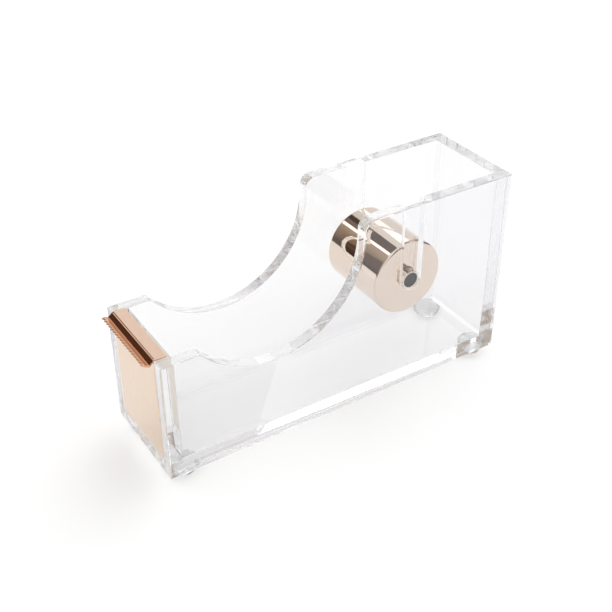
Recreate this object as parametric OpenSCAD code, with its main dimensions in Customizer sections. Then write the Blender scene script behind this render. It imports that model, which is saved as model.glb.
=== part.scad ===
// Desktop tape dispenser: a clear acrylic body cemented from five sheets, with a rose-gold front plate,
// a toothed cutter blade, and a drum spool whose axle lies in grooves inside the two side panels.
// +X points from the cutter to the back, +Y to the dispenser's left side and +Z up.
// The origin is below the middle of the whole part, on the surface that it stands on.

/* [Body] */
// Length of the side panels, front to back
body_l = 123.4; // [105:0.1:150]
// Width over both side panels
body_w = 36; // [29:0.1:46]
// Height of the body at the back, without the feet
body_h = 66; // [55:0.1:80]
// Height of the body at the low front, without the feet
front_h = 41; // [34:0.1:50]
// Thickness of the side panels
side_t = 4; // [3:0.1:5]
// Thickness of the front panel
front_t = 4.5; // [3:0.1:6]
// Thickness of the back panel
back_t = 4.5; // [3:0.1:6]
// Thickness of the base panel
base_t = 4.5; // [3:0.1:6]

/* [Scoop] */
// Length of the flat top edge over the cutter
front_flat_l = 11.5; // [8:0.1:14]
// Length of the flat top edge at the back
back_flat_l = 52.2; // [46:0.1:56]
// Height of the scoop's lowest point
scoop_floor = 29.5; // [22:0.1:32]
// Radius of the crest between the front flat and the scoop
front_crest_r = 2; // [1:0.1:3]
// Radius of the crest between the scoop and the back flat
back_crest_r = 3.7; // [2:0.1:5]

/* [Axle and grooves] */
// Distance from the axle to the back of the body
axle_back = 37; // [34:0.1:42]
// Outer diameter of the axle tube
axle_d = 6.2; // [5:0.1:7.5]
// Wall of the axle tube
axle_wall = 0.6; // [0.4:0.05:1]
// Depth of the grooves in the side panels' inner faces
groove_depth = 2.5; // [1.8:0.1:2.8]
// Height of the grooves' lowest point
groove_floor = 36.05; // [33:0.05:42]
// Extra width of a groove over the axle
groove_gap = 1.2; // [0.4:0.1:2]
// Gap between each end of the axle and its groove
axle_end_gap = 0.3; // [0.1:0.05:1]
// Gap under the resting axle
rest_gap = 0.05; // [0.02:0.01:0.1]
// Length of an end plug in the axle tube
plug_l = 8; // [4:0.1:12]
// Depth of a plug's face inside the end of the tube
plug_inset = 0.15; // [0:0.05:0.5]

/* [Spool] */
// Outer diameter of the drum, which fits a one-inch tape core
spool_d = 25; // [20:0.1:29]
// Wall of the drum and of its two ends
spool_wall = 1.2; // [0.8:0.1:2]
// Radius on the drum's two outer edges
spool_edge_r = 0.8; // [0.3:0.1:1.1]
// Gap between the drum and the right side panel
spool_side_gap = 0.6; // [0.3:0.1:2]
// Total play of the drum between the side panels
spool_play = 3.9; // [1.5:0.1:8]
// Outer diameter of a bush in the drum
bush_d = 9.4; // [9:0.1:12]
// Length of a bush
bush_l = 5; // [3:0.1:6]
// Wall of the drum's boss around a bush
boss_wall = 1.2; // [0.8:0.1:1.6]
// Radial running clearance of the bushes on the axle tube
run_gap = 0.05; // [0.02:0.01:0.1]
// Radial clearance of the holes in the drum's ends
end_hole_gap = 0.2; // [0.12:0.01:0.4]

/* [Front plate and cutter] */
// Thickness of the front plate
plate_t = 0.5; // [0.3:0.05:1]
// Distance of the plate's top edge below the low front
plate_top_gap = 0.7; // [0.6:0.05:1.5]
// Gap between the plate and the base's ledge
plate_foot_gap = 0.2; // [0.1:0.05:1]
// Gap on each side of the plate
plate_side_gap = 0.5; // [0.3:0.05:1]
// Gap on each side of the blade
blade_side_gap = 0.15; // [0.05:0.05:1]
// Thickness of the adhesive films
film_t = 0.1; // [0.05:0.01:0.15]
// Distance of the adhesive films inside the metal's edges
film_inset = 0.4; // [0.2:0.05:1]
// Thickness of the blade
blade_t = 0.5; // [0.3:0.05:0.6]
// Length of the blade's flat strip from the front panel's front face
blade_strip_l = 3.4; // [2.5:0.1:4]
// Inner radius of the bend at the top of the blade
blade_top_bend_r = 0.6; // [0.3:0.05:0.7]
// Inner radius of the bend at the bottom of the trough
blade_low_bend_r = 0.35; // [0.2:0.05:0.6]
// Slope of the blade's face down into the trough, in degrees
blade_face_a = 42; // [35:1:50]
// Length of the straight face between the two bends
blade_face_l = 1.4; // [1:0.05:2]
// Rise of the toothed lip, in degrees
blade_lip_a = 25; // [15:1:35]
// Length of the toothed lip
blade_lip_l = 2; // [1.5:0.05:3]
// Width of one tooth, rounded to fill the blade
tooth_pitch = 1.5; // [1:0.1:2.5]
// Depth of the teeth
tooth_h = 0.8; // [0.5:0.05:1.2]

/* [Feet] */
// Diameter of a bumper foot
foot_d = 9.5; // [8:0.1:11]
// Height of a foot with its adhesive disc
foot_h = 2.8; // [2.2:0.1:4]
// Radius on a foot's lower edge
foot_edge_r = 1.7; // [1:0.1:1.9]
// Distance of a foot's centre from the front or back
foot_inset_x = 6.2; // [6:0.1:10]
// Distance of a foot's centre from the side
foot_inset_y = 5.6; // [5.6:0.1:7]
// Thickness of a foot's adhesive disc
foot_film_t = 0.15; // [0.1:0.01:0.25]

/* [Hidden] */

round_fn = 96;
bend_steps = 8;
past = 1; // how far a cut runs past the surface that it opens
tooth_flat = 0.12; // blunt end of a tooth

clear_acrylic = [0.9, 0.93, 0.96, 0.35];
rose_gold = [0.91, 0.79, 0.71];
soft_clear = [0.88, 0.9, 0.9, 0.6];
black_nylon = [0.12, 0.12, 0.13];
white_acetal = [0.93, 0.92, 0.9];
film_clear = [0.9, 0.88, 0.82, 0.6];

inner_w = body_w - 2 * side_t;
plate_w = inner_w - 2 * plate_side_gap;
blade_w = inner_w - 2 * blade_side_gap;
front_face_x = film_t + plate_t; // the front panel stands back, so the plate is flush with the side panels

// Scoop: an arc that is tangent to the front crest and to an upright line under the back crest.
scoop_back_x = body_l - back_flat_l - back_crest_r;
scoop_span = scoop_back_x - front_flat_l;
scoop_drop = scoop_floor - (front_h - front_crest_r);
scoop_sum = scoop_span - scoop_drop + front_crest_r;
scoop_r = scoop_sum
    - sqrt(scoop_sum * scoop_sum - scoop_span * scoop_span - scoop_drop * scoop_drop
        + front_crest_r * front_crest_r);
scoop_c = [scoop_back_x - scoop_r, scoop_floor + scoop_r];
front_crest_c = [front_flat_l, front_h - front_crest_r];
back_crest_z = body_h - back_crest_r;
back_crest_reach = scoop_r + back_crest_r;
scoop_lean = max(0, scoop_c[1] - back_crest_z);
back_crest_c = [scoop_c[0] + sqrt(back_crest_reach * back_crest_reach - scoop_lean * scoop_lean), back_crest_z];

// Axle and grooves
groove_r = (axle_d + groove_gap) / 2;
axle_x = body_l - axle_back;
axle_z = groove_floor + axle_d / 2 + rest_gap;
axle_l = inner_w + 2 * (groove_depth - axle_end_gap);
axle_bore_d = axle_d - 2 * axle_wall;

// Spool
spool_l = inner_w - spool_play;
spool_y = spool_side_gap - inner_w / 2;
boss_d = bush_d + 2 * boss_wall;
cap_y = spool_y + spool_l - spool_wall;

// Blade: the middle line runs forward over the front panel, down the face and up the lip.
strip_z = front_h + film_t;
top_bend_c = [front_face_x - film_t, strip_z - blade_top_bend_r];
top_bend_mid_r = blade_top_bend_r + blade_t / 2;
low_bend_mid_r = blade_low_bend_r + blade_t / 2;
face_normal_a = 90 + blade_face_a;
lip_normal_a = 270 - blade_lip_a;
face_end = top_bend_c + top_bend_mid_r * unit(face_normal_a) + blade_face_l * unit(face_normal_a + 90);
low_bend_c = face_end + low_bend_mid_r * unit(face_normal_a);
lip_end = low_bend_c + low_bend_mid_r * unit(lip_normal_a) + blade_lip_l * unit(180 - blade_lip_a);
blade_reach = -(lip_end[0] + blade_t / 2 * unit(lip_normal_a)[0]);
tooth_count = round(blade_w / tooth_pitch);
tooth_w = blade_w / tooth_count;

row_x = (body_l - blade_reach) / 2; // middle of the whole length, with the lip that stands out in front

function unit(a) = [cos(a), sin(a)];
function arc(c, r, a0, a1) =
    [for (i = [0 : bend_steps]) c + r * unit(a0 + (a1 - a0) * i / bend_steps)];

// Moves a piece from the body's own corner to the origin under the whole part.
module placed() translate([-row_x, 0, foot_h]) children();

// An outline in X and Z, given thickness t from y upwards in Y.
module sheet_xz(y, t) translate([0, y + t, 0]) rotate([90, 0, 0]) linear_extrude(t) children();

// A shape made along +Z, laid along +Y with its foot at y on the axle's axis.
module on_axle(y) translate([axle_x, y, axle_z]) rotate([-90, 0, 0]) children();

// Takes the sharp point off between a flat edge and the scoop, next to a crest of radius r about c.
module crest_cut(c, r, from) {
    to_scoop = (scoop_c - c) / norm(scoop_c - c);
    touch = c + r * to_scoop;
    difference() {
        polygon([c, from, from + [0, past], touch + [to_scoop[0] * r, r + past], touch + past * to_scoop, touch]);
        circle_at(c, r);
    }
}

module circle_at(c, r) translate(c) circle(r, $fn = round_fn);

module side_outline() difference() {
    square([body_l, body_h]);
    translate([-past, front_h]) square([scoop_c[0] + past, body_h]);
    circle_at(scoop_c, scoop_r);
    translate(scoop_c) square([scoop_r, body_h]);
    crest_cut(front_crest_c, front_crest_r, front_crest_c + [0, front_crest_r]);
    back_crest_cut();
}

// The back crest's cut: beside an upright scoop side it is a square corner, and a leaning one tilts it.
module back_crest_cut() {
    c = back_crest_c;
    to_scoop = scoop_lean > 0 ? (scoop_c - c) / norm(scoop_c - c) : [-1, 0];
    touch = c + back_crest_r * to_scoop;
    difference() {
        polygon([c, c + [0, back_crest_r], c + [0, back_crest_r + past],
            [touch[0] - past, body_h + past], touch + past * to_scoop, touch]);
        circle_at(c, back_crest_r);
    }
}

module groove_outline() {
    groove_c = [axle_x, groove_floor + groove_r];
    circle_at(groove_c, groove_r);
    translate(groove_c - [groove_r, 0]) square([2 * groove_r, body_h]);
}

// A side panel, and the blind groove that is open at its top and on its inner face.
module side_panel(y, groove_y) color(clear_acrylic) placed() difference() {
    sheet_xz(y, side_t) side_outline();
    sheet_xz(groove_y, groove_depth + past) groove_outline();
}
module right_side_panel() side_panel(-body_w / 2, -inner_w / 2 - groove_depth);
module left_side_panel() side_panel(inner_w / 2, inner_w / 2 - past);

module base_panel() color(clear_acrylic) placed()
    translate([0, -inner_w / 2, 0]) cube([body_l, inner_w, base_t]);

module front_panel() color(clear_acrylic) placed()
    translate([front_face_x, -inner_w / 2, base_t]) cube([front_t, inner_w, front_h - base_t]);

module back_panel() color(clear_acrylic) placed()
    translate([body_l - back_t, -inner_w / 2, base_t]) cube([back_t, inner_w, body_h - base_t]);

// A sheet on the front of the front panel, from x forward, set in from the plate's edges.
module front_sheet(x, t, inset) {
    foot_z = base_t + plate_foot_gap + inset;
    top_z = front_h - plate_top_gap - inset;
    translate([x, inset - plate_w / 2, foot_z]) cube([t, plate_w - 2 * inset, top_z - foot_z]);
}

module front_plate() color(rose_gold) placed() front_sheet(0, plate_t, 0);
module front_plate_adhesive() color(film_clear) placed() front_sheet(plate_t, film_t, film_inset);

module blade_outline() polygon(concat(
    [[front_face_x + blade_strip_l, strip_z + blade_t]],
    arc(top_bend_c, top_bend_mid_r + blade_t / 2, 90, face_normal_a),
    arc(low_bend_c, low_bend_mid_r - blade_t / 2, face_normal_a + 180, lip_normal_a),
    [lip_end - blade_t / 2 * unit(lip_normal_a), lip_end + blade_t / 2 * unit(lip_normal_a)],
    arc(low_bend_c, low_bend_mid_r + blade_t / 2, lip_normal_a, face_normal_a + 180),
    arc(top_bend_c, top_bend_mid_r - blade_t / 2, face_normal_a, 90),
    [[front_face_x + blade_strip_l, strip_z]]));

// The gap between two teeth, cut straight down through the lip.
module tooth_gap(y) {
    half = (tooth_w - tooth_flat) / 2;
    slope = half / tooth_h;
    translate([-blade_reach, y, low_bend_c[1] - low_bend_mid_r - blade_t])
        linear_extrude(front_h)
            polygon([[tooth_h, 0], [-past, -half - past * slope], [-past, half + past * slope]]);
}

module cutter_blade() color(rose_gold) placed() difference() {
    sheet_xz(-blade_w / 2, blade_w) blade_outline();
    for (i = [0 : tooth_count]) tooth_gap(i * tooth_w - blade_w / 2);
}

module cutter_blade_adhesive() color(film_clear) placed()
    translate([front_face_x + film_inset, film_inset - blade_w / 2, front_h])
        cube([blade_strip_l - 2 * film_inset, blade_w - 2 * film_inset, film_t]);

// Moves a foot's shape to one corner: end is 0 at the front and 1 at the back, side is -1 at the right.
module at_corner(end, side)
    translate([end * (body_l - 2 * foot_inset_x) + foot_inset_x, side * (body_w / 2 - foot_inset_y), -foot_h])
        children();

module foot(end, side) color(soft_clear) placed() at_corner(end, side)
    rotate_extrude($fn = round_fn) difference() {
        square([foot_d / 2, foot_h - foot_film_t]);
        difference() {
            translate([foot_d / 2 - foot_edge_r, -past]) square([foot_edge_r + past, foot_edge_r + past]);
            circle_at([foot_d / 2 - foot_edge_r, foot_edge_r], foot_edge_r);
        }
    }

module foot_front_right() foot(0, -1);
module foot_front_left() foot(0, 1);
module foot_rear_right() foot(1, -1);
module foot_rear_left() foot(1, 1);

module foot_adhesives() color(film_clear) placed()
    for (end = [0, 1], side = [-1, 1]) at_corner(end, side)
        translate([0, 0, foot_h - foot_film_t])
            cylinder(d = foot_d - 2 * film_inset, h = foot_film_t, $fn = round_fn);

module axle_tube() color(rose_gold) placed() on_axle(-axle_l / 2) difference() {
    cylinder(d = axle_d, h = axle_l, $fn = round_fn);
    translate([0, 0, -past]) cylinder(d = axle_bore_d, h = axle_l + 2 * past, $fn = round_fn);
}

module axle_plug(y) color(black_nylon) placed() on_axle(y)
    cylinder(d = axle_bore_d, h = plug_l, $fn = round_fn);
module axle_plug_right() axle_plug(plug_inset - axle_l / 2);
module axle_plug_left() axle_plug(axle_l / 2 - plug_inset - plug_l);

// The drum's outer edge is rounded where it meets an end.
module edge_round(z, up) difference() {
    translate([spool_d / 2 - spool_edge_r, up > 0 ? z - past : z - spool_edge_r])
        square([spool_edge_r + past, spool_edge_r + past]);
    circle_at([spool_d / 2 - spool_edge_r, z + up * spool_edge_r], spool_edge_r);
}

// A boss on the inside of an end wall with its bush's pocket, made upwards from z.
module bush_pocket(z) difference() {
    translate([0, 0, z]) cylinder(d = boss_d, h = bush_l, $fn = round_fn);
    translate([0, 0, z - past]) cylinder(d = bush_d, h = bush_l + 2 * past, $fn = round_fn);
}

module end_hole() translate([0, 0, -past])
    cylinder(d = axle_d + 2 * end_hole_gap, h = spool_wall + 2 * past, $fn = round_fn);

module spool_shell() color(rose_gold) placed() on_axle(spool_y) {
    difference() {
        rotate_extrude($fn = round_fn) difference() {
            square([spool_d / 2, spool_l]);
            edge_round(0, 1);
            edge_round(spool_l, -1);
        }
        translate([0, 0, spool_wall])
            cylinder(d = spool_d - 2 * spool_wall, h = spool_l, $fn = round_fn);
        end_hole();
    }
    bush_pocket(spool_wall);
}

module spool_end_cap() color(rose_gold) placed() on_axle(cap_y) {
    difference() {
        cylinder(d = spool_d - 2 * spool_wall, h = spool_wall, $fn = round_fn);
        end_hole();
    }
    bush_pocket(-bush_l);
}

module bush(y) color(white_acetal) placed() on_axle(y) difference() {
    cylinder(d = bush_d, h = bush_l, $fn = round_fn);
    translate([0, 0, -past]) cylinder(d = axle_d + 2 * run_gap, h = bush_l + 2 * past, $fn = round_fn);
}
module spool_bush_right() bush(spool_y + spool_wall);
module spool_bush_left() bush(cap_y - bush_l);

right_side_panel();
left_side_panel();
base_panel();
front_panel();
back_panel();
front_plate();
front_plate_adhesive();
cutter_blade();
cutter_blade_adhesive();
foot_front_right();
foot_front_left();
foot_rear_right();
foot_rear_left();
foot_adhesives();
axle_tube();
axle_plug_right();
axle_plug_left();
spool_shell();
spool_end_cap();
spool_bush_right();
spool_bush_left();
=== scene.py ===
import math

import bmesh
import bpy
from mathutils import Matrix, Vector


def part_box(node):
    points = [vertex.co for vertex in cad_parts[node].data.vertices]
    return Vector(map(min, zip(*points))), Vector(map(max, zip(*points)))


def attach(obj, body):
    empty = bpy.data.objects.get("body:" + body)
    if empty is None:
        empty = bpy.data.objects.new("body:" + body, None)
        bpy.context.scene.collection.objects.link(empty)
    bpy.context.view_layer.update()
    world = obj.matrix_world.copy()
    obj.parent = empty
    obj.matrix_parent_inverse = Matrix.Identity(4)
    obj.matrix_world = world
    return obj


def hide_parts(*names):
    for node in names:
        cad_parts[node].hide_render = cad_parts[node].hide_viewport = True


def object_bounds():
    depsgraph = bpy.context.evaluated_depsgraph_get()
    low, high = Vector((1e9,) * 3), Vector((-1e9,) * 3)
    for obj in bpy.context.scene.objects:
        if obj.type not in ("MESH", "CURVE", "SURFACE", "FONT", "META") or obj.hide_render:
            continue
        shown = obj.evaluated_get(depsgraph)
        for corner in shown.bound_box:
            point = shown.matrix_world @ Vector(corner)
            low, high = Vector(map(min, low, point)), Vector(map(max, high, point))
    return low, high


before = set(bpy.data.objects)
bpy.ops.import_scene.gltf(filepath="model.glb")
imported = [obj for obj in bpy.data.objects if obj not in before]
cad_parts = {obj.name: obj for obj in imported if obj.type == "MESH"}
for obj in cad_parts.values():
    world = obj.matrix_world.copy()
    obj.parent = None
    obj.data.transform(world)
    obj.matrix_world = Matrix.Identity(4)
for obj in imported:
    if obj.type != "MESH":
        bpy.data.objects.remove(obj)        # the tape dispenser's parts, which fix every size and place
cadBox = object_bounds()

mm = 0.001
acrossBody = Vector((0, 1, 0))
upwards = Vector((0, 0, 1))

weldDistance = 0.001 * mm   # vertices closer than this are one
touching = 0.01 * mm        # an edge this close to a plane lies in it
flatNormal = 0.99           # a face whose normal has this much along an axis faces that way
sharpFrom = math.radians(40)  # edges that turn more than this are bevelled
noiseLow, noiseHigh = 0.3, 0.7  # most of a noise texture's values lie between these

# Places that several pieces share, all read from the parts
bodyLow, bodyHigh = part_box("right_side_panel")
axleLow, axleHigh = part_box("axle_tube")
axleCentre = (axleLow + axleHigh) / 2
axleRadius = (axleHigh.z - axleLow.z) / 2
cementLap = 0.05 * mm  # how far a cemented sheet reaches into its neighbour, so light passes the joint unbent
filmLap = 0.02 * mm    # the same for the thin adhesive films
plainEdge = 0.12 * mm  # the broken edge of the flat sheets


def srgb(hexCode):
    # sRGB hex to linear, with alpha
    values = [int(hexCode[i:i + 2], 16) / 255 for i in (1, 3, 5)]
    return [v / 12.92 if v <= 0.04045 else ((v + 0.055) / 1.055) ** 2.4 for v in values] + [1.0]


def perMm(size):
    # texture scale that gives features of about this size in mm
    return 1 / (size * mm)


def addNode(tree, kind, inputs=None, **settings):
    node = tree.nodes.new(kind)
    for name, value in settings.items():
        setattr(node, name, value)
    for socket, value in (inputs or {}).items():
        if isinstance(value, bpy.types.NodeSocket):
            tree.links.new(value, node.inputs[socket])
        else:
            node.inputs[socket].default_value = value
    return node


def startMaterial(name):
    material = bpy.data.materials.new(name)
    material.use_nodes = True
    material.node_tree.nodes.clear()
    return material, material.node_tree


def clearPlastic(name, tint, ior, rough, waveSize, waveDepth, grainSize, grainDepth):
    # Clear plastic that lets lamps through: shadow and scattered rays go straight on, the rest are refracted
    material, tree = startMaterial(name)
    place = addNode(tree, "ShaderNodeTexCoord").outputs["Object"]
    wave = addNode(tree, "ShaderNodeTexNoise", {"Vector": place, "Scale": perMm(waveSize), "Detail": 1.0})
    grain = addNode(tree, "ShaderNodeTexNoise", {"Vector": place, "Scale": perMm(grainSize), "Detail": 2.0})
    haze = addNode(tree, "ShaderNodeMapRange", {
        "Value": grain.outputs["Fac"], "From Min": noiseLow, "From Max": noiseHigh, "To Min": rough[0],
        "To Max": rough[1]})
    wavy = addNode(tree, "ShaderNodeBump", {"Height": wave.outputs["Fac"], "Distance": waveDepth * mm})
    grainy = addNode(tree, "ShaderNodeBump", {"Height": grain.outputs["Fac"], "Distance": grainDepth * mm,
                                              "Normal": wavy.outputs["Normal"]})
    body = addNode(tree, "ShaderNodeBsdfPrincipled", {
        "Base Color": srgb(tint), "Transmission Weight": 1.0, "IOR": ior, "Roughness": haze.outputs["Result"],
        "Normal": grainy.outputs["Normal"]})
    straight = addNode(tree, "ShaderNodeBsdfTransparent", {"Color": srgb("#FCFCFC")})
    path = addNode(tree, "ShaderNodeLightPath").outputs
    past = addNode(tree, "ShaderNodeMath", {0: path["Is Shadow Ray"], 1: path["Is Diffuse Ray"]},
                   operation="MAXIMUM")
    mixed = addNode(tree, "ShaderNodeMixShader", {"Fac": past.outputs[0], 1: body.outputs[0],
                                                  2: straight.outputs[0]})
    addNode(tree, "ShaderNodeOutputMaterial", {"Surface": mixed.outputs[0]})
    return material


def metalFinish(name, lowTone, highTone, toneSize, rough, roughSize, stretch, wave, grain):
    # Plated metal. Sizes are in mm, wave and grain are (size, depth), and stretch draws the grain into lines.
    material, tree = startMaterial(name)
    place = addNode(tree, "ShaderNodeTexCoord").outputs["Object"]
    drawn = addNode(tree, "ShaderNodeMapping", {"Vector": place, "Scale": stretch}).outputs["Vector"]
    tone = addNode(tree, "ShaderNodeTexNoise", {"Vector": place, "Scale": perMm(toneSize), "Detail": 2.0})
    coat = addNode(tree, "ShaderNodeMix", {"Factor": tone.outputs["Fac"], 6: srgb(lowTone),
                                           7: srgb(highTone)}, data_type="RGBA")
    wear = addNode(tree, "ShaderNodeTexNoise", {"Vector": drawn, "Scale": perMm(roughSize), "Detail": 3.0})
    polish = addNode(tree, "ShaderNodeMapRange", {
        "Value": wear.outputs["Fac"], "From Min": noiseLow, "From Max": noiseHigh, "To Min": rough[0],
        "To Max": rough[1]})
    peel = addNode(tree, "ShaderNodeTexNoise", {"Vector": place, "Scale": perMm(wave[0]), "Detail": 1.0})
    lines = addNode(tree, "ShaderNodeTexNoise", {"Vector": drawn, "Scale": perMm(grain[0]), "Detail": 4.0})
    wavy = addNode(tree, "ShaderNodeBump", {"Height": peel.outputs["Fac"], "Distance": wave[1] * mm})
    lined = addNode(tree, "ShaderNodeBump", {"Height": lines.outputs["Fac"], "Distance": grain[1] * mm,
                                             "Normal": wavy.outputs["Normal"]})
    shader = addNode(tree, "ShaderNodeBsdfPrincipled", {
        "Base Color": coat.outputs[2], "Metallic": 1.0, "Roughness": polish.outputs["Result"],
        "Normal": lined.outputs["Normal"]})
    addNode(tree, "ShaderNodeOutputMaterial", {"Surface": shader.outputs[0]})
    return material


def mouldedPlastic(name, lowTone, highTone, ior, rough, grainSize, grainDepth):
    # Opaque plastic with a fine grain, and a cloudy tone six times as large as the grain
    material, tree = startMaterial(name)
    place = addNode(tree, "ShaderNodeTexCoord").outputs["Object"]
    grain = addNode(tree, "ShaderNodeTexNoise", {"Vector": place, "Scale": perMm(grainSize), "Detail": 3.0})
    cloud = addNode(tree, "ShaderNodeTexNoise", {"Vector": place, "Scale": perMm(6 * grainSize),
                                                 "Detail": 2.0})
    tone = addNode(tree, "ShaderNodeMix", {"Factor": cloud.outputs["Fac"], 6: srgb(lowTone),
                                           7: srgb(highTone)}, data_type="RGBA")
    haze = addNode(tree, "ShaderNodeMapRange", {
        "Value": grain.outputs["Fac"], "From Min": noiseLow, "From Max": noiseHigh, "To Min": rough[0],
        "To Max": rough[1]})
    grainy = addNode(tree, "ShaderNodeBump", {"Height": grain.outputs["Fac"], "Distance": grainDepth * mm})
    shader = addNode(tree, "ShaderNodeBsdfPrincipled", {
        "Base Color": tone.outputs[2], "IOR": ior, "Roughness": haze.outputs["Result"],
        "Normal": grainy.outputs["Normal"]})
    addNode(tree, "ShaderNodeOutputMaterial", {"Surface": shader.outputs[0]})
    return material


# Cast acrylic sheet, PMMA: flat, water-clear faces with hardly any tint and hardly any scratches
castAcrylic = clearPlastic("castAcrylicSheet", tint="#F8F8F9", ior=1.49, rough=(0.0, 0.0), waveSize=14,
                           waveDepth=0.002, grainSize=0.4, grainDepth=0.00002)
# Its sawn edges are polished with a flame, which leaves them glossy but slightly wavy
acrylicEdge = clearPlastic("flamePolishedAcrylicEdge", tint="#FDFDFE", ior=1.49, rough=(0.0, 0.06),
                           waveSize=2.2, waveDepth=0.016, grainSize=0.5, grainDepth=0.0006)
# Cast polyurethane bumpers: soft, clear and a little hazy
clearUrethane = clearPlastic("castClearPolyurethane", tint="#FBFCFC", ior=1.48, rough=(0.0, 0.05),
                             waveSize=3.0, waveDepth=0.006, grainSize=0.5, grainDepth=0.0005)
# Acrylic pressure-sensitive film, which wets both faces and hides the metal's back behind a milky layer
adhesiveFilm = mouldedPlastic("pressureSensitiveAcrylicFilm", lowTone="#E4DBCB", highTone="#EEE7DA", ior=1.47,
                              rough=(0.35, 0.5), grainSize=0.6, grainDepth=0.002)
# Polished stamping with a vacuum-plated rose-gold coat: almost a mirror, with a faint orange peel
mirrorRoseGold = metalFinish("mirrorPlatedRoseGold", lowTone="#E6D6C7", highTone="#EADBCE", toneSize=9,
                             rough=(0.015, 0.04), roughSize=1.2, stretch=(1, 1, 1), wave=(7, 0.0012),
                             grain=(0.6, 0.00004))
# Satin rose-gold plate on brushed steel, with fine upright lines drawn coarser than life so that they show
satinRoseGold = metalFinish("satinPlatedRoseGold", lowTone="#E3CBB6", highTone="#E8D4C0", toneSize=24,
                            rough=(0.2, 0.28), roughSize=0.6, stretch=(1, 1, 0.06), wave=(14, 0.004),
                            grain=(0.3, 0.0003))
# Spring steel blade, plated after stamping: redder and glossier than the plate, with faint lines across it
bladeRoseGold = metalFinish("platedSpringSteel", lowTone="#E6C3AC", highTone="#F0D3C0", toneSize=6,
                            rough=(0.05, 0.12), roughSize=0.6, stretch=(1, 0.08, 1), wave=(5, 0.002),
                            grain=(0.3, 0.0004))
# The same blade past its crest, in a darker, redder tone: a painted darker reflection, standing in for the
# dark surroundings that the face and lip mirror
paintedReflectionRoseGold = metalFinish("bladeRoseGoldPaintedDarkReflection", lowTone="#CF9A78", highTone="#DDAF90", toneSize=4,
                             rough=(0.04, 0.1), roughSize=0.6, stretch=(1, 0.08, 1), wave=(5, 0.002),
                             grain=(0.3, 0.0004))
# Moulded black nylon, slightly grey where the mould's fine texture catches light
blackNylon = mouldedPlastic("mouldedBlackNylon", lowTone="#0E0F11", highTone="#17181A", ior=1.53,
                            rough=(0.45, 0.6), grainSize=0.3, grainDepth=0.003)
# Machined white acetal: smooth, waxy and slightly warm
whiteAcetal = mouldedPlastic("machinedWhiteAcetal", lowTone="#E6E3DC", highTone="#F1EFEA", ior=1.48,
                             rough=(0.25, 0.4), grainSize=0.5, grainDepth=0.002)
print("materials ready")


def onlyKind(geometry, kind):
    return [item for item in geometry if isinstance(item, kind)]


def lineTo(bm, vert, place):
    new = bm.verts.new(place)
    bm.edges.new((vert, new))
    return new


def arcFrom(bm, vert, centre, angle, step):
    # Carries an outline on round a centre. A positive angle turns from +X towards +Z.
    made = bmesh.ops.spin(bm, geom=[vert], cent=centre, axis=(0, -1, 0), dvec=(0, 0, 0), angle=angle,
                          steps=max(2, round(abs(angle) / step)), use_merge=False, use_normal_flip=False,
                          use_duplicate=False)
    return onlyKind(made["geom_last"], bmesh.types.BMVert)[0]


def bevelEdges(bm, edges, width, segments=2):
    bmesh.ops.bevel(bm, geom=edges, offset=width, offset_type="OFFSET", affect="EDGES", segments=segments,
                    profile=0.5, material=-1, clamp_overlap=True)


def sharpEdges(bm, choose=lambda edge: True):
    return [e for e in bm.edges if len(e.link_faces) == 2 and e.calc_face_angle(0) > sharpFrom and choose(e)]


def boxBetween(low, high):
    # A mesh of one box from its low corner to its high corner
    bm = bmesh.new()
    place = Matrix.Translation((low + high) / 2) @ Matrix.Diagonal((*(high - low), 1))
    bmesh.ops.create_cube(bm, size=1, matrix=place)
    return bm


def finishPiece(bm, name, body, materials, nodes, sharp=60):
    # Welds, turns the faces outwards and makes the mesh a piece that rides on its body. Sharp is in degrees.
    bmesh.ops.remove_doubles(bm, verts=bm.verts, dist=weldDistance)
    bmesh.ops.recalc_face_normals(bm, faces=bm.faces)
    mesh = bpy.data.meshes.new(name)
    for material in materials:
        mesh.materials.append(material)
    bm.to_mesh(mesh)
    bm.free()
    mesh.shade_smooth()
    mesh.set_sharp_from_angle(angle=math.radians(sharp))
    piece = bpy.data.objects.new(name, mesh)
    bpy.context.scene.collection.objects.link(piece)
    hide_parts(*nodes)
    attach(piece, body)
    return piece


def weightNormals(piece):
    weighted = piece.modifiers.new("flatFaces", "WEIGHTED_NORMAL")
    weighted.keep_sharp = True


# The two side panels: one outline with the scoop, cut from 4 mm sheet, with a blind groove for the axle
sidePanel = {
    "frontFlat": 11.5 * mm, "frontHeight": 41.0 * mm, "backFlat": 52.2 * mm, "scoopFloor": 29.5 * mm,
    "frontCrest": 2.0 * mm, "backCrest": 3.7 * mm, "grooveGap": 1.2 * mm, "grooveFloor": 36.05 * mm,
    "grooveDepth": 2.5 * mm, "faceEdge": 0.3 * mm, "jointEdge": 0.12 * mm, "arcStep": math.radians(1.5),
    "crestStep": math.radians(6), "mouthClear": 0.33 * mm, "milledFrom": 10 * mm, "milledUpTo": 0.5 * mm,
}


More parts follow.
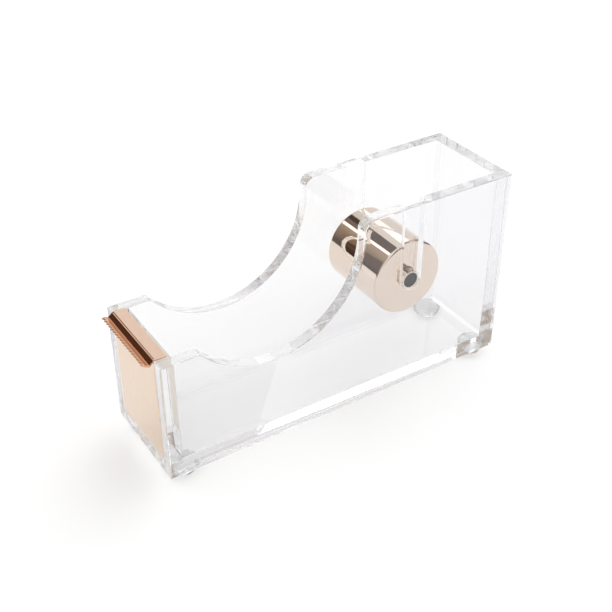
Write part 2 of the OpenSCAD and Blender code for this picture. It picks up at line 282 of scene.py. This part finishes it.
def sideFaces(bm, y):
    # Draws the outline with the groove as a notch. Returns the face round the groove and the groove's own.
    p = sidePanel
    front, foot, back, top = bodyLow.x, bodyLow.z, bodyHigh.x, bodyHigh.z
    grooveHalf = axleRadius + p["grooveGap"] / 2
    grooveCentre = Vector((axleCentre.x, y, foot + p["grooveFloor"] + grooveHalf))
    crestBottom = p["frontHeight"] - p["frontCrest"]
    scoopBack = back - front - p["backFlat"] - p["backCrest"]
    span, drop = scoopBack - p["frontFlat"], p["scoopFloor"] - crestBottom
    total = span - drop + p["frontCrest"]
    radius = total - math.sqrt(total ** 2 - span ** 2 - drop ** 2 + p["frontCrest"] ** 2)
    scoopCentre = Vector((front + scoopBack - radius, y, foot + p["scoopFloor"] + radius))
    frontCentre = Vector((front + p["frontFlat"], y, foot + crestBottom))
    backCentre = Vector((front + scoopBack + p["backCrest"], y, top - p["backCrest"]))
    meet = math.atan2(frontCentre.z - scoopCentre.z, frontCentre.x - scoopCentre.x)

    first = bm.verts.new((front, y, foot))
    v = lineTo(bm, first, (back, y, foot))
    v = lineTo(bm, v, (back, y, top))
    mouthBack = lineTo(bm, v, (grooveCentre.x + grooveHalf, y, top))
    outside = set(bm.edges)
    v = lineTo(bm, mouthBack, grooveCentre + Vector((grooveHalf, 0, 0)))
    v = arcFrom(bm, v, grooveCentre, -math.pi, p["crestStep"])
    mouthFront = lineTo(bm, v, (grooveCentre.x - grooveHalf, y, top))
    groove = [edge for edge in bm.edges if edge not in outside]
    v = lineTo(bm, mouthFront, (backCentre.x, y, top))
    v = arcFrom(bm, v, backCentre, math.pi / 2, p["crestStep"])
    v = lineTo(bm, v, scoopCentre + Vector((radius, 0, 0)))
    v = arcFrom(bm, v, scoopCentre, meet, p["arcStep"])
    v = arcFrom(bm, v, frontCentre, math.pi / 2 - (meet + math.pi), p["crestStep"])
    v = lineTo(bm, v, (front, y, foot + p["frontHeight"]))
    bm.edges.new((v, first))
    around = bmesh.ops.contextual_create(bm, geom=bm.edges[:])["faces"]
    groove.append(bm.edges.new((mouthBack, mouthFront)))
    return around, bmesh.ops.contextual_create(bm, geom=groove)["faces"]


def raiseFaces(bm, faces, rise):
    # Extrudes faces across the body and returns the faces that end up at the far side
    risen = bmesh.ops.extrude_face_region(bm, geom=faces)["geom"]
    bmesh.ops.translate(bm, vec=acrossBody * rise, verts=onlyKind(risen, bmesh.types.BMVert))
    return onlyKind(risen, bmesh.types.BMFace)


def liesAt(edge, y):
    return all(abs(vert.co.y - y) < touching for vert in edge.verts)


def isGrooveMouth(edge, outer, top):
    # An edge of the groove's open top end that keeps clear of the bevel round the outer face
    atTop = all(abs(vert.co.z - top) < touching and abs(vert.co.x - axleCentre.x) < 2 * axleRadius
                for vert in edge.verts)
    return atTop and all(abs(vert.co.y - outer) >= sidePanel["mouthClear"] for vert in edge.verts)


def buildSidePanel(name):
    p = sidePanel
    low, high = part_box(name)
    inwards = 1 if low.y < 0 else -1
    outer, inner = (low.y, high.y) if inwards > 0 else (high.y, low.y)
    skin = high.y - low.y - p["grooveDepth"]
    bm = bmesh.new()
    around, groove = sideFaces(bm, outer)
    risen = raiseFaces(bm, around + groove, inwards * skin)
    inside = max(risen, key=lambda face: face.calc_area())
    raiseFaces(bm, [inside], inwards * p["grooveDepth"])
    bmesh.ops.delete(bm, geom=[inside], context="FACES_ONLY")
    bmesh.ops.recalc_face_normals(bm, faces=bm.faces)
    bevelEdges(bm, sharpEdges(bm, lambda edge: liesAt(edge, outer)), p["faceEdge"])
    bevelEdges(bm, sharpEdges(bm, lambda edge: liesAt(edge, inner) or isGrooveMouth(edge, outer, high.z)),
               p["jointEdge"])
    grooveReach = axleRadius + p["grooveGap"] / 2 + p["jointEdge"]
    for face in bm.faces:
        middle = face.calc_center_median()
        milled = (abs(middle.x - axleCentre.x) < grooveReach
                  and low.z + p["milledFrom"] < middle.z < high.z - p["milledUpTo"])
        face.material_index = 0 if abs(face.normal.y) > flatNormal or milled else 1
    return finishPiece(bm, name + "_sheet", "dispenser_body", [castAcrylic, acrylicEdge],
                       [name], sharp=20)


sheets = [buildSidePanel(name) for name in ("right_side_panel", "left_side_panel")]


# The three flat sheets between the side panels, lapped a hair into what they are cemented to
def buildFlatSheet(name, thin, lapDown):
    # Thin is the number of the axis that the sheet is thin along
    low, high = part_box(name)
    low = low - Vector((0, cementLap, cementLap if lapDown else 0))
    high = high + Vector((0, cementLap, 0))
    bm = boxBetween(low, high)
    bevelEdges(bm, bm.edges[:], plainEdge)
    for face in bm.faces:
        face.material_index = 0 if abs(face.normal[thin]) > flatNormal else 1
    return finishPiece(bm, name + "_sheet", "dispenser_body", [castAcrylic, acrylicEdge],
                       [name], sharp=20)


sheets += [buildFlatSheet("base_panel", 2, False), buildFlatSheet("front_panel", 0, True),
           buildFlatSheet("back_panel", 0, True)]
print("acrylic sheets:", len(sheets))


# The front plate and the two adhesive films, which lap a little into what they are stuck to
def buildThinSheet(name, lap, edge, material):
    low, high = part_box(name)
    bm = boxBetween(low - Vector(lap), high + Vector(lap))
    if edge:
        bevelEdges(bm, bm.edges[:], edge, segments=3)
    weightNormals(finishPiece(bm, name + "_skin", "dispenser_body", [material], [name]))


buildThinSheet("front_plate", (0, 0, 0), plainEdge, satinRoseGold)
buildThinSheet("front_plate_adhesive", (filmLap, 0, 0), 0, adhesiveFilm)
buildThinSheet("cutter_blade_adhesive", (0, 0, filmLap), 0, adhesiveFilm)
print("front plate and films")

# The cutter blade: a strip bent down over the front and up again into a toothed lip
blade = {
    "thickness": 0.5 * mm, "topBend": 0.6 * mm, "lowBend": 0.35 * mm, "faceSlope": math.radians(42),
    "faceLength": 1.4 * mm, "lipRise": math.radians(25), "lipLength": 2.0 * mm, "teeth": 18,
    "toothDepth": 0.8 * mm, "toothTip": 0.1 * mm, "bendStep": math.radians(6), "edge": 0.05 * mm,
    "edgeFrom": math.radians(50),
}


def buildBlade():
    p = blade
    low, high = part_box("cutter_blade")
    topMid, lowMid = p["topBend"] + p["thickness"] / 2, p["lowBend"] + p["thickness"] / 2
    stripZ = high.z - p["thickness"] / 2
    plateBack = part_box("front_plate")[1].x
    topCentre = Vector((plateBack, low.y, stripZ - topMid))
    lipAlong = Vector((-math.cos(p["lipRise"]), 0, math.sin(p["lipRise"])))
    faceAlong = Vector((-math.cos(p["faceSlope"]), 0, -math.sin(p["faceSlope"])))
    faceNormal = Vector((-math.sin(p["faceSlope"]), 0, math.cos(p["faceSlope"])))

    bm = bmesh.new()
    v = bm.verts.new((high.x, low.y, stripZ))
    v = lineTo(bm, v, (topCentre.x, low.y, stripZ))
    v = arcFrom(bm, v, topCentre, p["faceSlope"], p["bendStep"])
    v = lineTo(bm, v, v.co + faceAlong * p["faceLength"])
    v = arcFrom(bm, v, v.co + faceNormal * lowMid, -(p["faceSlope"] + p["lipRise"]), p["bendStep"])
    v = lineTo(bm, v, v.co + lipAlong * (p["lipLength"] - p["toothDepth"] - p["toothTip"]))
    tip = lineTo(bm, v, v.co + lipAlong * (p["toothDepth"] + p["toothTip"]))
    tipX = tip.co.x

    toothWidth = (high.y - low.y) / p["teeth"]
    half = (toothWidth - p["toothTip"]) / 2
    edges = bm.edges[:]
    for step in (half, p["toothTip"], half) * p["teeth"]:
        made = bmesh.ops.extrude_edge_only(bm, edges=edges)
        bmesh.ops.translate(bm, vec=acrossBody * step, verts=onlyKind(made["geom"], bmesh.types.BMVert))
        edges = [edge for edge in onlyKind(made["geom"], bmesh.types.BMEdge)
                 if abs(edge.verts[0].co.y - edge.verts[1].co.y) < weldDistance]
    # Pull the lip's edge back where two teeth meet
    for vert in bm.verts:
        teethBefore = (vert.co.y - low.y) / toothWidth
        betweenTeeth = abs(teethBefore - round(teethBefore)) * toothWidth < touching
        if betweenTeeth and abs(vert.co.x - tipX) < weldDistance:
            vert.co -= lipAlong * p["toothDepth"]
    # Faces past the crest take the darker tone, which paints the darker reflection of the face and lip
    for face in bm.faces:
        face.material_index = 1 if face.calc_center_median().x < topCentre.x - p["topBend"] else 0
    piece = finishPiece(bm, "cutter_blade_strip", "dispenser_body",
                        [bladeRoseGold, paintedReflectionRoseGold], ["cutter_blade"])
    wall = piece.modifiers.new("wall", "SOLIDIFY")
    wall.thickness = p["thickness"]
    wall.offset = 0
    wall.use_even_offset = True
    rounding = piece.modifiers.new("rounding", "BEVEL")
    rounding.width = p["edge"]
    rounding.segments = 2
    rounding.limit_method = "ANGLE"
    rounding.angle_limit = p["edgeFrom"]
    weightNormals(piece)


buildBlade()
print("cutter blade")


def spinPiece(points, centre, steps):
    # A closed section of (place along the axle, distance from it), turned once round the axle
    bm = bmesh.new()
    places = [centre + acrossBody * along + upwards * away for along, away in points]
    verts = [bm.verts.new(place) for place in places]
    edges = [bm.edges.new((a, b)) for a, b in zip(verts, verts[1:] + verts[:1])]
    bmesh.ops.spin(bm, geom=verts + edges, cent=centre, axis=acrossBody, dvec=(0, 0, 0), angle=2 * math.pi,
                   steps=steps, use_merge=True, use_normal_flip=False, use_duplicate=False)
    bmesh.ops.remove_doubles(bm, verts=bm.verts, dist=weldDistance)
    bmesh.ops.recalc_face_normals(bm, faces=bm.faces)
    return bm


# The drum: a cup with an end wall and a boss, closed by a cap with a boss of its own
spool = {
    "wall": 1.2 * mm, "outerEdge": 0.8 * mm, "innerEdge": 0.15 * mm, "bossWall": 1.2 * mm,
    "bushRadius": 4.7 * mm, "bushLength": 5.0 * mm, "holeGap": 0.2 * mm, "steps": 144,
}


def isAway(edge, radius):
    # Whether an edge's middle is this far from the axle's axis, allowing for the facets
    middle = (edge.verts[0].co + edge.verts[1].co) / 2 - axleCentre
    return abs(math.hypot(middle.x, middle.z) - radius) < 2 * touching


def buildSpool():
    p = spool
    low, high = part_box("spool_shell")
    radius = (high.z - low.z) / 2
    start, length = low.y, high.y - low.y
    hole, boss, bush = axleRadius + p["holeGap"], p["bushRadius"] + p["bossWall"], p["bushRadius"]
    wall, deep = p["wall"], p["wall"] + p["bushLength"]
    centre = Vector((axleCentre.x, start, axleCentre.z))
    shell = spinPiece([(0, hole), (0, radius), (length, radius), (length, radius - wall),
                       (wall, radius - wall), (wall, boss), (deep, boss), (deep, bush), (wall, bush),
                       (wall, hole)],
                      centre, p["steps"])
    bevelEdges(shell, sharpEdges(shell, lambda e: isAway(e, radius)), p["outerEdge"], segments=5)
    bevelEdges(shell, sharpEdges(shell, lambda e: isAway(e, hole)), p["innerEdge"], segments=3)
    bevelEdges(shell, sharpEdges(shell, lambda e: isAway(e, radius - wall)), p["innerEdge"], segments=3)
    weightNormals(finishPiece(shell, "spool_shell_drum", "spool", [mirrorRoseGold],
                              ["spool_shell"]))

    inner = length - wall
    deepEnd = inner - p["bushLength"]
    cap = spinPiece([(inner, hole), (inner, bush), (deepEnd, bush), (deepEnd, boss), (inner, boss),
                     (inner, radius - wall), (length, radius - wall), (length, hole)],
                    centre, p["steps"])
    bevelEdges(cap, sharpEdges(cap, lambda e: isAway(e, hole) or isAway(e, radius - wall)), p["innerEdge"],
               segments=3)
    weightNormals(finishPiece(cap, "spool_end_cap_disc", "spool", [mirrorRoseGold],
                              ["spool_end_cap"]))


# The two bushes inside the drum that turn on the axle
bushFit = {"runGap": 0.05 * mm, "edge": 0.25 * mm, "steps": 72}


def buildBush(name):
    low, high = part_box(name)
    centre = Vector((axleCentre.x, low.y, axleCentre.z))
    radius, length = (high.z - low.z) / 2, high.y - low.y
    bore = axleRadius + bushFit["runGap"]
    bm = spinPiece([(0, bore), (0, radius), (length, radius), (length, bore)], centre, bushFit["steps"])
    bevelEdges(bm, sharpEdges(bm), bushFit["edge"])
    weightNormals(finishPiece(bm, name + "_sleeve", "spool", [whiteAcetal], [name]))


buildSpool()
for side in ("right", "left"):
    buildBush("spool_bush_" + side)
print("drum spool")

# The axle tube and the plugs in its ends
axle = {"wall": 0.6 * mm, "edge": 0.14 * mm, "steps": 96}
plug = {
    "steps": 64, "chamfer": 0.12 * mm, "rim": 0.3 * mm, "dish": 0.1 * mm, "rings": 6, "ringStep": 0.26 * mm,
    "pitPlace": Vector((0.55, 0.75)) * mm, "pitSize": 0.28 * mm, "pitDepth": 0.14 * mm,
}


def buildAxle():
    bore = axleRadius - axle["wall"]
    length = axleHigh.y - axleLow.y
    centre = Vector((axleCentre.x, axleLow.y, axleCentre.z))
    bm = spinPiece([(0, bore), (0, axleRadius), (length, axleRadius), (length, bore)], centre, axle["steps"])
    bevelEdges(bm, sharpEdges(bm), axle["edge"], segments=3)
    weightNormals(finishPiece(bm, "axle_tube_turned", "axle", [mirrorRoseGold],
                              ["axle_tube"]))


def buildPlug(name):
    # A moulded plug: a raised rim round a dished face, with the small pit that its gate leaves
    low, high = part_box(name)
    outwards = -1 if low.y < 0 else 1
    faceY = low.y if outwards < 0 else high.y
    place = Matrix.Translation((axleCentre.x, faceY, axleCentre.z)) @ Matrix.Rotation(math.pi / 2, 4, "X")
    bm = bmesh.new()
    bmesh.ops.create_circle(bm, cap_ends=True, segments=plug["steps"], radius=(high.z - low.z) / 2,
                            matrix=place)
    body = bmesh.ops.extrude_face_region(bm, geom=bm.faces[:], use_keep_orig=True)
    bmesh.ops.translate(bm, vec=-acrossBody * outwards * (high.y - low.y),
                        verts=onlyKind(body["geom"], bmesh.types.BMVert))
    bmesh.ops.recalc_face_normals(bm, faces=bm.faces)
    bevelEdges(bm, sharpEdges(bm), plug["chamfer"])
    ends = [face for face in bm.faces if len(face.verts) == plug["steps"]]
    front = max(ends, key=lambda face: face.calc_center_median().y * outwards)
    bmesh.ops.inset_region(bm, faces=[front], thickness=plug["rim"], depth=0)
    bmesh.ops.inset_region(bm, faces=[front], thickness=plug["chamfer"], depth=-plug["dish"])
    for ring in range(plug["rings"]):
        bmesh.ops.inset_region(bm, faces=[front], thickness=plug["ringStep"], depth=0)
    bmesh.ops.poke(bm, faces=[front])
    for vert in bm.verts:
        away = Vector((vert.co.x - axleCentre.x, vert.co.z - axleCentre.z)) - plug["pitPlace"]
        if abs(vert.co.y - faceY) < 2 * plug["dish"]:
            vert.co.y -= outwards * plug["pitDepth"] * math.exp(-(away.length / plug["pitSize"]) ** 2)
    weightNormals(finishPiece(bm, name + "_moulded", "axle", [blackNylon], [name]))


buildAxle()
for side in ("right", "left"):
    buildPlug("axle_plug_" + side)
print("axle and plugs")

# Four clear bumper feet, each on its own adhesive disc
foot = {"edge": 1.7 * mm, "steps": 64, "arcStep": math.radians(9), "topEdge": 0.2 * mm, "filmSteps": 48}


def buildFoot(name):
    low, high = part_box(name)
    centre = Vector(((low.x + high.x) / 2, (low.y + high.y) / 2, low.z))
    radius = (high.x - low.x) / 2
    top = high.z - low.z
    bm = bmesh.new()
    v = bm.verts.new(centre + Vector((0, 0, top)))
    v = lineTo(bm, v, centre + Vector((radius - foot["topEdge"], 0, top)))
    v = lineTo(bm, v, centre + Vector((radius, 0, top - foot["topEdge"])))
    v = lineTo(bm, v, centre + Vector((radius, 0, foot["edge"])))
    v = arcFrom(bm, v, centre + Vector((radius - foot["edge"], 0, foot["edge"])), -math.pi / 2,
                foot["arcStep"])
    lineTo(bm, v, centre)
    bmesh.ops.spin(bm, geom=bm.verts[:] + bm.edges[:], cent=centre, axis=upwards, dvec=(0, 0, 0),
                   angle=2 * math.pi, steps=foot["steps"], use_merge=True, use_normal_flip=False,
                   use_duplicate=False)
    weightNormals(finishPiece(bm, name + "_bumper", "dispenser_body", [clearUrethane],
                              [name]))


footNames = ["foot_" + end + "_" + side for end in ("front", "rear") for side in ("right", "left")]
for name in footNames:
    buildFoot(name)


def buildFootFilms():
    # The discs' radius follows from how far they reach past the rear foot's edge
    low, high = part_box("foot_adhesives")
    bm = bmesh.new()
    for name in footNames:
        footLow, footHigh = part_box(name)
        middle = (footLow + footHigh) / 2
        radius = high.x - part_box("foot_rear_right")[1].x + (footHigh.x - footLow.x) / 2
        bmesh.ops.create_cone(bm, cap_ends=True, segments=foot["filmSteps"], radius1=radius, radius2=radius,
                              depth=high.z - low.z + 2 * filmLap,
                              matrix=Matrix.Translation((middle.x, middle.y, (low.z + high.z) / 2)))
    finishPiece(bm, "foot_adhesive_discs", "dispenser_body", [clearUrethane],
                ["foot_adhesives"], sharp=40)


buildFootFilms()
print("feet")

# The studio: a pale floor, an even pale surround, soft lamps, and dark cards that polished metal reflects
studio = {
    "floorSize": 6.0, "floorDrop": 0.02 * mm, "floorTone": "#F4F4F4", "floorGrain": 3,
    "floorGrainDepth": 0.01, "horizon": "#FFFFFF", "zenith": "#ECECEC", "horizonUpTo": 0.25,
    "zenithFrom": 0.9, "surround": 1.0, "cardSteps": 24, "cardTurns": 1.0, "cardPasses": 4.0,
}


def buildFloor():
    bm = bmesh.new()
    bmesh.ops.create_grid(bm, x_segments=8, y_segments=8, size=studio["floorSize"] / 2,
                          matrix=Matrix.Translation((0, 0, cadBox[0].z - studio["floorDrop"])))
    mesh = bpy.data.meshes.new("floor")
    bm.to_mesh(mesh)
    bm.free()
    material, tree = startMaterial("mattWhitePaint")
    place = addNode(tree, "ShaderNodeTexCoord").outputs["Object"]
    grain = addNode(tree, "ShaderNodeTexNoise", {"Vector": place, "Scale": perMm(studio["floorGrain"]),
                                                 "Detail": 3.0})
    matt = addNode(tree, "ShaderNodeMapRange", {"Value": grain.outputs["Fac"], "To Min": 0.8, "To Max": 0.9})
    grainy = addNode(tree, "ShaderNodeBump", {"Height": grain.outputs["Fac"],
                                              "Distance": studio["floorGrainDepth"] * mm})
    shader = addNode(tree, "ShaderNodeBsdfPrincipled", {
        "Base Color": srgb(studio["floorTone"]), "Roughness": matt.outputs["Result"],
        "Specular IOR Level": 0.2, "Normal": grainy.outputs["Normal"]})
    addNode(tree, "ShaderNodeOutputMaterial", {"Surface": shader.outputs[0]})
    mesh.materials.append(material)
    floor = bpy.data.objects.new("floor", mesh)
    bpy.context.scene.collection.objects.link(floor)


def buildSurround():
    world = bpy.data.worlds.new("studioSurround")
    bpy.context.scene.world = world
    world.use_nodes = True
    tree = world.node_tree
    tree.nodes.clear()
    skyward = addNode(tree, "ShaderNodeTexCoord").outputs["Generated"]
    height = addNode(tree, "ShaderNodeSeparateXYZ", {"Vector": skyward}).outputs["Z"]
    ramp = addNode(tree, "ShaderNodeValToRGB", {"Fac": height})
    ramp.color_ramp.elements[0].color = srgb(studio["horizon"])
    ramp.color_ramp.elements[1].color = srgb(studio["zenith"])
    ramp.color_ramp.elements[0].position = studio["horizonUpTo"]
    ramp.color_ramp.elements[1].position = studio["zenithFrom"]
    sky = addNode(tree, "ShaderNodeBackground", {"Color": ramp.outputs["Color"],
                                                 "Strength": studio["surround"]})
    addNode(tree, "ShaderNodeOutputWorld", {"Surface": sky.outputs[0]})


def direction(azimuth, elevation):
    # azimuth from +Y towards +X, elevation above the floor, both in degrees
    a, e = math.radians(azimuth), math.radians(elevation)
    return Vector((math.sin(a) * math.cos(e), math.cos(a) * math.cos(e), math.sin(e)))


def addLamp(name, azimuth, elevation, distance, size, power, tone, mirrored=True):
    # A rectangular lamp that faces the axle. One that isn't mirrored lights things but is never reflected.
    lamp = bpy.data.lights.new(name, "AREA")
    lamp.shape = "RECTANGLE"
    lamp.size, lamp.size_y = size
    lamp.energy = power
    lamp.color = srgb(tone)[:3]
    holder = bpy.data.objects.new(name, lamp)
    bpy.context.scene.collection.objects.link(holder)
    towards = direction(azimuth, elevation)
    holder.location = axleCentre + towards * distance
    holder.rotation_euler = towards.to_track_quat("Z", "Y").to_euler()
    holder.visible_camera = False
    holder.visible_glossy = holder.visible_transmission = mirrored


def buildFlag(name, azimuthLow, azimuthHigh, material, centreX, radius, bottom, top):
    # An upright card bent round an upright axis at centreX, from bottom to top above the axle, in metres
    bm = bmesh.new()
    start = direction(azimuthLow, 0) * radius + Vector((centreX, 0, axleCentre.z))
    low = bm.verts.new(start + upwards * bottom)
    high = bm.verts.new(start + upwards * top)
    edge = bm.edges.new((low, high))
    bmesh.ops.spin(bm, geom=[low, high, edge], cent=(centreX, 0, 0), axis=(0, 0, -1), dvec=(0, 0, 0),
                   angle=math.radians(azimuthHigh - azimuthLow), steps=studio["cardSteps"], use_merge=False,
                   use_normal_flip=False, use_duplicate=False)
    mesh = bpy.data.meshes.new(name)
    bm.to_mesh(mesh)
    bm.free()
    mesh.materials.append(material)
    flag = bpy.data.objects.new(name, mesh)
    bpy.context.scene.collection.objects.link(flag)
    flag.visible_camera = False
    flag.visible_diffuse = False
    flag.visible_shadow = False


def flagMaterial(name, stops):
    # A glowing card whose tone changes with height above the floor, in metres. It shows to glossy rays, and
    # to ones that turned once and passed four clear faces, as light off the drum does. It is meant for the
    # metal, but in level views the glossy rule also lets it darken the clear sheets.
    material, tree = startMaterial(name)
    place = addNode(tree, "ShaderNodeTexCoord").outputs["Object"]
    height = addNode(tree, "ShaderNodeSeparateXYZ", {"Vector": place}).outputs["Z"]
    ramp = addNode(tree, "ShaderNodeValToRGB", {"Fac": height})
    elements = ramp.color_ramp.elements
    elements[0].position, elements[0].color = stops[0][0], srgb(stops[0][1])
    elements[1].position, elements[1].color = stops[-1][0], srgb(stops[-1][1])
    for position, tone in stops[1:-1]:
        elements.new(position).color = srgb(tone)
    glow = addNode(tree, "ShaderNodeEmission", {"Color": ramp.outputs["Color"]})
    gone = addNode(tree, "ShaderNodeBsdfTransparent")
    path = addNode(tree, "ShaderNodeLightPath").outputs
    turned = addNode(tree, "ShaderNodeMath", {0: path["Glossy Depth"], 1: studio["cardTurns"], 2: 0.1},
                     operation="COMPARE")
    passed = addNode(tree, "ShaderNodeMath", {0: path["Transmission Depth"], 1: studio["cardPasses"], 2: 0.1},
                     operation="COMPARE")
    once = addNode(tree, "ShaderNodeMath", {0: turned.outputs[0], 1: passed.outputs[0]}, operation="MULTIPLY")
    behind = addNode(tree, "ShaderNodeMath", {0: once.outputs[0], 1: path["Is Singular Ray"]},
                     operation="MULTIPLY")
    seen = addNode(tree, "ShaderNodeMath", {0: path["Is Glossy Ray"], 1: behind.outputs[0]},
                   operation="MAXIMUM")
    mixed = addNode(tree, "ShaderNodeMixShader", {"Fac": seen.outputs[0], 1: gone.outputs[0],
                                                  2: glow.outputs[0]})
    addNode(tree, "ShaderNodeOutputMaterial", {"Surface": mixed.outputs[0]})
    return material


buildFloor()
buildSurround()
# Warm grey card that fades upwards, a nearly even dark one, and a small brown one for the blade
warmFlag = flagMaterial("warmDarkFlag", [(0.0, "#3D2D29"), (0.2, "#54423B"), (0.35, "#7C6A5E"),
                                         (0.62, "#94826F"), (0.85, "#B0A08C")])
bladeFlag = flagMaterial("bladeDarkFlag", [(0.0, "#594338"), (0.2, "#5E463A"), (1.0, "#4E392F")])
darkFlag = flagMaterial("darkFlag", [(0.0, "#4A3B35"), (0.6, "#5E5048"), (1.0, "#57483F")])
wide = {"centreX": axleCentre.x, "radius": 1.1, "bottom": -0.07, "top": 1.5}
small = {"centreX": bodyLow.x, "radius": 0.25, "bottom": 0.07, "top": 0.22}
buildFlag("flag_far_left", -115, -22, warmFlag, **wide)
buildFlag("flag_far", -22, 8, darkFlag, **wide)
buildFlag("flag_near_right", 65, 158, warmFlag, **wide)
buildFlag("flag_near", 158, 188, darkFlag, **wide)
buildFlag("flag_blade", -47, -30, bladeFlag, **small)
addLamp("key_softbox", 55, 48, distance=1.6, size=(1.2, 1.2), power=4.0, tone="#FFFFFF")
addLamp("fill_softbox", -150, 55, distance=1.8, size=(1.2, 1.2), power=2.5, tone="#FFFFFF")
addLamp("strip_lamp", -24, 39, distance=1.0, size=(0.09, 0.5), power=0.25, tone="#FFFAF2")
addLamp("floor_wash", 0, 90, distance=2.0, size=(3.0, 3.0), power=8.5, tone="#FFFFFF", mirrored=False)
print("studio ready")

# The camera: long lens, looking down on the near side from the front
shot = {
    "azimuth": 212.68, "elevation": 34.62, "roll": 0.03, "distance": 326.6 * mm, "lens": 60.94,
    "sensor": 36.0, "target": Vector((-1.26, 0, 32.7)) * mm, "nearest": 0.01, "farthest": 20,
}


def buildCamera():
    data = bpy.data.cameras.new("camera")
    data.lens, data.sensor_width = shot["lens"], shot["sensor"]
    data.clip_start, data.clip_end = shot["nearest"], shot["farthest"]
    camera = bpy.data.objects.new("camera", data)
    bpy.context.scene.collection.objects.link(camera)
    back = direction(shot["azimuth"], shot["elevation"])
    aim = back.to_track_quat("Z", "Y").to_matrix().to_4x4()
    roll = Matrix.Rotation(math.radians(shot["roll"]), 4, "Z")
    camera.matrix_world = Matrix.Translation(shot["target"] + back * shot["distance"]) @ aim @ roll
    bpy.context.scene.camera = camera


buildCamera()
bpy.context.scene.view_settings.view_transform = "Standard"
# Light crosses and turns in the clear sheets many times, and edges go black when it is cut short
bpy.context.scene.cycles.max_bounces = 160
bpy.context.scene.cycles.transmission_bounces = 128
bpy.context.scene.cycles.glossy_bounces = 128
